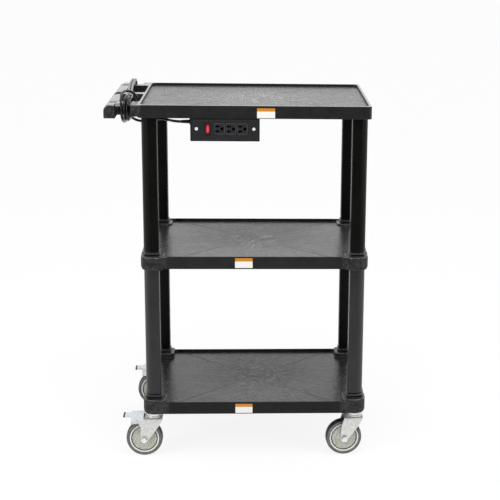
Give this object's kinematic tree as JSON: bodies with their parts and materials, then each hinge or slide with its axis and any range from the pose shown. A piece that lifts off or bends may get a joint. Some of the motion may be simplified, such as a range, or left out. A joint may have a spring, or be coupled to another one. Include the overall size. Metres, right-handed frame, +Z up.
{
  "type": "utility cart",
  "caption": "Rolling moulded-plastic cart with stacked lipped trays, round-cornered legs, a cord-wrap push handle, a switched outlet strip with its wound lead and braked swivel casters.",
  "frame": {"origin": "middle of the cart's footprint on the floor, handle included", "axes": "+Z up, -Y the side with the outlets, -X the push handle"},
  "size_m": [0.6966, 0.457, 1.0097],
  "materials": {
    "foam_plastic": "black structural foam, satin with flow swirl and fine pebble on the bosses",
    "power_housing": "black, semi-matte",
    "faceplate": "black, fine texture",
    "outlet": "black, smooth",
    "switch": "translucent red, glossy",
    "bright_screw": "bright nickel plate",
    "cord_jacket": "black flexible jacket, satin",
    "brass_pin": "bright brass",
    "aluminium_bar": "extruded mill finish",
    "zinc": "bright zinc plate",
    "wheel_hub": "pale grey, satin",
    "tyre": "grey thermoplastic rubber, matte"
  },
  "bodies": {
    "cart": {"top_shelf": "foam_plastic", "middle_shelf": "foam_plastic", "bottom_shelf": "foam_plastic", "top_shelf_bar_front": "aluminium_bar", "top_shelf_bar_back": "aluminium_bar", "middle_shelf_bar_front": "aluminium_bar", "middle_shelf_bar_back": "aluminium_bar", "bottom_shelf_bar_front": "aluminium_bar", "bottom_shelf_bar_back": "aluminium_bar", "leg_lower_fl": "foam_plastic", "leg_upper_fl": "foam_plastic", "leg_lower_fr": "foam_plastic", "leg_upper_fr": "foam_plastic", "leg_lower_bl": "foam_plastic", "leg_upper_bl": "foam_plastic", "leg_lower_br": "foam_plastic", "leg_upper_br": "foam_plastic", "power_housing": "power_housing", "power_faceplate": "faceplate", "outlet_1": "outlet", "outlet_2": "outlet", "outlet_3": "outlet", "switch_bezel": "power_housing", "faceplate_screw_left": "bright_screw", "faceplate_screw_right": "bright_screw", "cord_gland": "cord_jacket", "cord_run": "cord_jacket", "cord_hank": "cord_jacket", "cord_tail": "cord_jacket", "plug": "cord_jacket", "plug_pins": "brass_pin", "caster_mount_fl": "zinc", "caster_mount_fr": "zinc", "caster_mount_bl": "zinc", "caster_mount_br": "zinc"},
    "switch_rocker": {"switch_rocker": "switch"},
    "swivel_fl": {"caster_fork_fl": "zinc", "axle_fl": "zinc", "bushing_fl": "zinc", "brake_pin_fl": "zinc"},
    "wheel_fl": {"wheel_hub_fl": "wheel_hub", "tyre_fl": "tyre"},
    "pedal_fl": {"brake_pedal_fl": "zinc"},
    "swivel_fr": {"caster_fork_fr": "zinc", "axle_fr": "zinc", "bushing_fr": "zinc"},
    "wheel_fr": {"wheel_hub_fr": "wheel_hub", "tyre_fr": "tyre"},
    "swivel_bl": {"caster_fork_bl": "zinc", "axle_bl": "zinc", "bushing_bl": "zinc", "brake_pin_bl": "zinc"},
    "wheel_bl": {"wheel_hub_bl": "wheel_hub", "tyre_bl": "tyre"},
    "pedal_bl": {"brake_pedal_bl": "zinc"},
    "swivel_br": {"caster_fork_br": "zinc", "axle_br": "zinc", "bushing_br": "zinc"},
    "wheel_br": {"wheel_hub_br": "wheel_hub", "tyre_br": "tyre"}
  },
  "joints": [
    {"name": "switch_rocker_tilt", "type": "hinge", "parent": "cart", "child": "switch_rocker", "pos_m": [-0.07995, -0.2223, 0.91865], "axis": [1, 0, 0], "range_deg": [0, 18]},
    {"name": "caster_swivel_fl", "type": "hinge", "parent": "cart", "child": "swivel_fl", "pos_m": [-0.23275, -0.195, 0.115], "axis": [0, 0, 1], "continuous": true},
    {"name": "wheel_roll_fl", "type": "hinge", "parent": "swivel_fl", "child": "wheel_fl", "pos_m": [-0.26125, -0.195, 0.05], "axis": [0, 1, 0], "continuous": true},
    {"name": "brake_press_fl", "type": "hinge", "parent": "swivel_fl", "child": "pedal_fl", "pos_m": [-0.28275, -0.195, 0.104], "axis": [0, 1, 0], "range_deg": [-8, 0]},
    {"name": "caster_swivel_fr", "type": "hinge", "parent": "cart", "child": "swivel_fr", "pos_m": [0.31925, -0.195, 0.115], "axis": [0, 0, 1], "continuous": true},
    {"name": "wheel_roll_fr", "type": "hinge", "parent": "swivel_fr", "child": "wheel_fr", "pos_m": [0.29088, -0.19773, 0.05], "axis": [-0.0958, 0.9954, 0], "continuous": true},
    {"name": "caster_swivel_bl", "type": "hinge", "parent": "cart", "child": "swivel_bl", "pos_m": [-0.23275, 0.195, 0.115], "axis": [0, 0, 1], "continuous": true},
    {"name": "wheel_roll_bl", "type": "hinge", "parent": "swivel_bl", "child": "wheel_bl", "pos_m": [-0.26125, 0.195, 0.05], "axis": [0, 1, 0], "continuous": true},
    {"name": "brake_press_bl", "type": "hinge", "parent": "swivel_bl", "child": "pedal_bl", "pos_m": [-0.28275, 0.195, 0.104], "axis": [0, 1, 0], "range_deg": [-8, 0]},
    {"name": "caster_swivel_br", "type": "hinge", "parent": "cart", "child": "swivel_br", "pos_m": [0.31925, 0.195, 0.115], "axis": [0, 0, 1], "continuous": true},
    {"name": "wheel_roll_br", "type": "hinge", "parent": "swivel_br", "child": "wheel_br", "pos_m": [0.29075, 0.195, 0.05], "axis": [0, 1, 0], "continuous": true}
  ]
}
